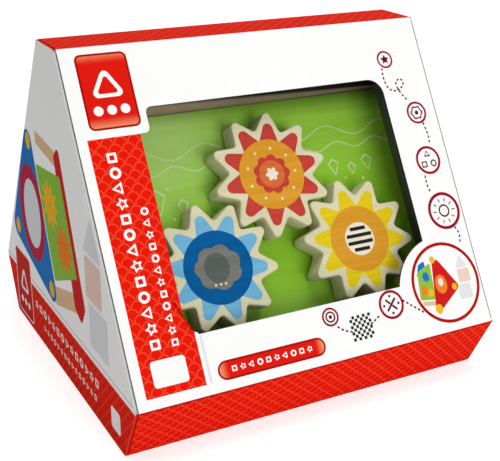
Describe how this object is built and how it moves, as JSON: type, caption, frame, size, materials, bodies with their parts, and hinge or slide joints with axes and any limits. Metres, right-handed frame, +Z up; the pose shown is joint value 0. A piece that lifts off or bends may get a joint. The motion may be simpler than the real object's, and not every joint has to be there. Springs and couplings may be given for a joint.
{
  "type": "activity toy in a display carton",
  "caption": "Wooden prism-shaped activity toy in a folded display carton with a sloped, open-windowed front; star gears behind the window mesh and turn by hand, and tuck flaps open at the ends.",
  "frame": {"origin": "under the middle of the carton's base, on the surface that it stands on", "axes": "+Z up, +X along the carton to the viewer's right, +Y from the windowed front to the back"},
  "size_m": [0.26, 0.2624, 0.2265],
  "materials": {
    "printed_board": "varnished print",
    "plain_board": "uncoated",
    "blue_painted_wood": "satin paint",
    "red_painted_wood": "satin paint",
    "bare_beech": "sanded and sealed",
    "green_printed_ply": "satin print",
    "bare_ply": "sanded and sealed",
    "zinc_steel": "zinc plated",
    "yellow_painted_wood": "satin paint",
    "mirror_sheet": "polished",
    "gear_wood": "sanded, printed face",
    "fibre_washer": "matt"
  },
  "bodies": {
    "carton_and_frame": {"carton_wrap": "printed_board", "dust_flap_base_left": "plain_board", "dust_flap_base_right": "plain_board", "dust_flap_top_left": "plain_board", "dust_flap_top_right": "plain_board", "end_panel_left": "blue_painted_wood", "end_panel_right": "red_painted_wood", "handle_dowel": "bare_beech", "lower_dowel_front": "bare_beech", "lower_dowel_rear": "bare_beech", "gear_panel": "green_printed_ply", "rear_panel": "bare_ply", "base_panel": "bare_ply", "screws_left": "zinc_steel", "screws_right": "zinc_steel", "corner_caps_left": "yellow_painted_wood", "corner_caps_right": "yellow_painted_wood", "mirror": "mirror_sheet", "mirror_ring": "red_painted_wood", "washer_upper": "fibre_washer", "washer_lower_left": "fibre_washer", "washer_lower_right": "fibre_washer"},
    "left_flap": {"end_flap_left": "printed_board"},
    "right_flap": {"end_flap_right": "printed_board"},
    "upper_gear": {"gear_upper": "gear_wood", "peg_upper": "bare_beech"},
    "lower_left_gear": {"gear_lower_left": "gear_wood", "peg_lower_left": "bare_beech"},
    "lower_right_gear": {"gear_lower_right": "gear_wood", "peg_lower_right": "bare_beech"}
  },
  "joints": [
    {"name": "left_flap_hinge", "type": "hinge", "parent": "carton_and_frame", "child": "left_flap", "pos_m": [-0.12925, -0.07374, 0.13311], "axis": [0, 0.5234, 0.8521], "range_deg": [0, 120]},
    {"name": "right_flap_hinge", "type": "hinge", "parent": "carton_and_frame", "child": "right_flap", "pos_m": [0.12925, -0.07374, 0.13311], "axis": [0, -0.5234, -0.8521], "range_deg": [0, 120]},
    {"name": "upper_gear_spin", "type": "hinge", "parent": "carton_and_frame", "child": "upper_gear", "pos_m": [0, -0.03713, 0.13109], "axis": [0, -0.8521, 0.5234], "continuous": true},
    {"name": "lower_left_gear_spin", "type": "hinge", "parent": "carton_and_frame", "child": "lower_left_gear", "pos_m": [-0.05247, -0.06464, 0.0863], "axis": [0, -0.8521, 0.5234], "continuous": true},
    {"name": "lower_right_gear_spin", "type": "hinge", "parent": "carton_and_frame", "child": "lower_right_gear", "pos_m": [0.05247, -0.06464, 0.0863], "axis": [0, -0.8521, 0.5234], "continuous": true}
  ],
  "couplings": [
    {"joint": "lower_left_gear_spin", "follows": "upper_gear_spin", "ratio": -1},
    {"joint": "lower_right_gear_spin", "follows": "upper_gear_spin", "ratio": -1}
  ]
}
